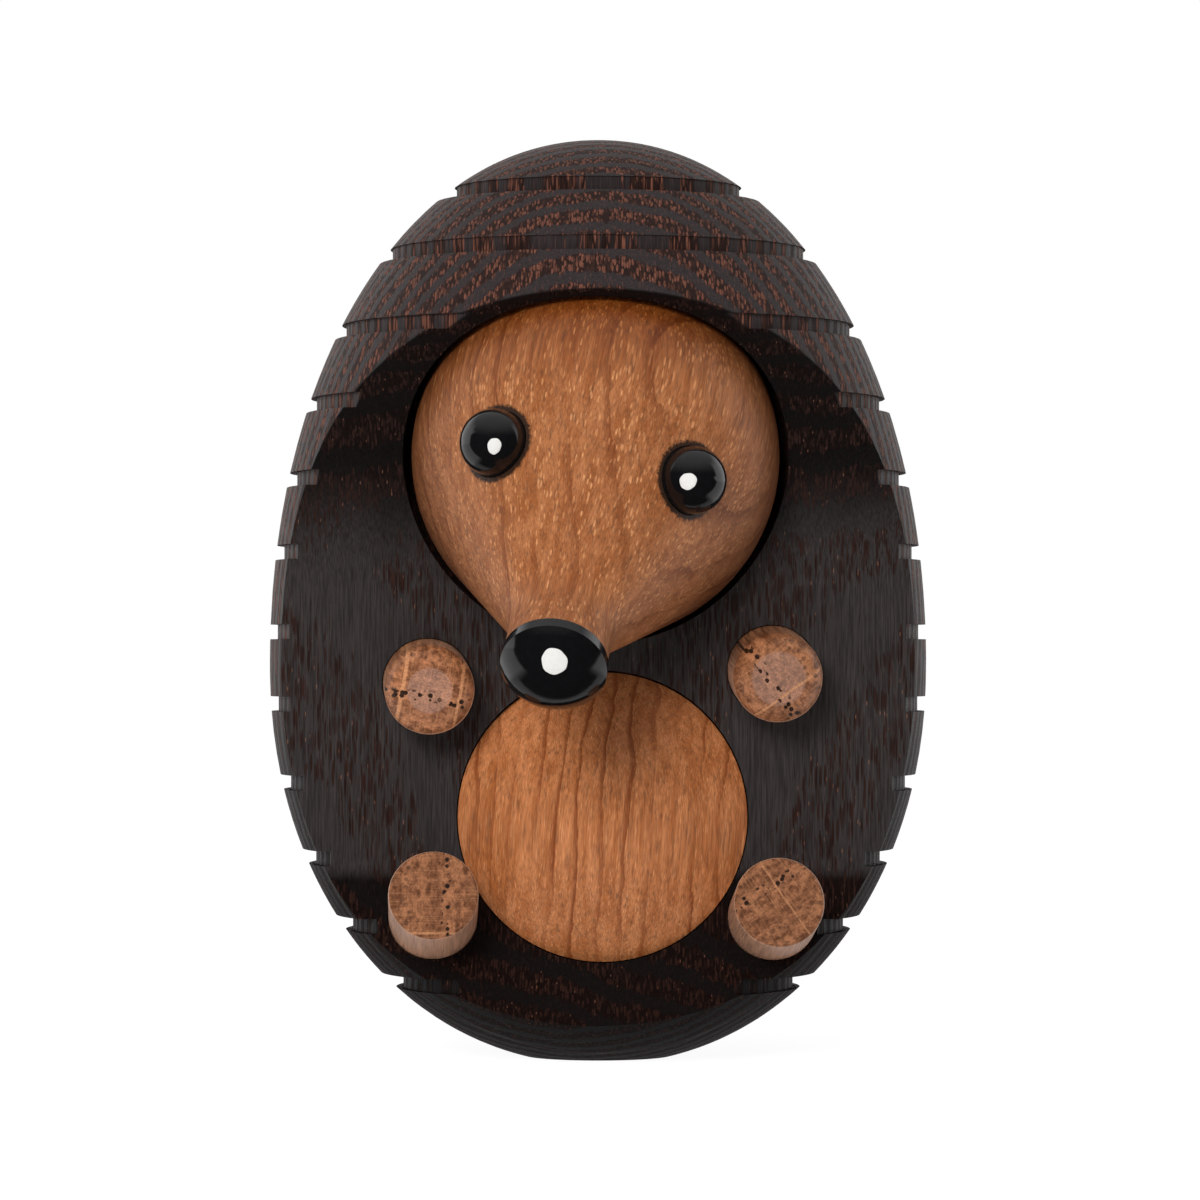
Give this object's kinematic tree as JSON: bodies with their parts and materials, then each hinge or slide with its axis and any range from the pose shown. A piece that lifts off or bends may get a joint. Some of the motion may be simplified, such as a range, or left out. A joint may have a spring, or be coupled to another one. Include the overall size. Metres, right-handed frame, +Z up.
{
  "type": "wooden hedgehog figurine",
  "caption": "Turned wooden hedgehog: a dark grooved egg, scooped out in front, with a pale snouted head turning in its cup, a domed belly and dowel arms and feet.",
  "frame": {"origin": "middle of the flat foot, on the upright axis of the egg", "axes": "+Z up, the animal looks along -Y, +X to its own left"},
  "size_m": [0.06, 0.0674, 0.0837],
  "materials": {
    "dark_wood": "smoked, oiled, satin",
    "pale_wood": "oiled, satin",
    "dowel_wood": "oiled, satin",
    "black_gloss": "gloss, with a small white painted dot",
    "magnet": "nickel plated"
  },
  "bodies": {
    "body": {"body": "dark_wood", "belly": "pale_wood", "arm_left": "dowel_wood", "arm_right": "dowel_wood", "foot_left": "dowel_wood", "foot_right": "dowel_wood", "socket_magnet": "magnet"},
    "head": {"head": "pale_wood", "nose": "black_gloss", "eye_left": "black_gloss", "eye_right": "black_gloss", "head_magnet": "magnet"}
  },
  "joints": [
    {"name": "head_turn", "type": "hinge", "parent": "body", "child": "head", "pos_m": [-0.00022, -0.0112, 0.05444], "axis": [0, -0.866, -0.5], "continuous": true}
  ]
}
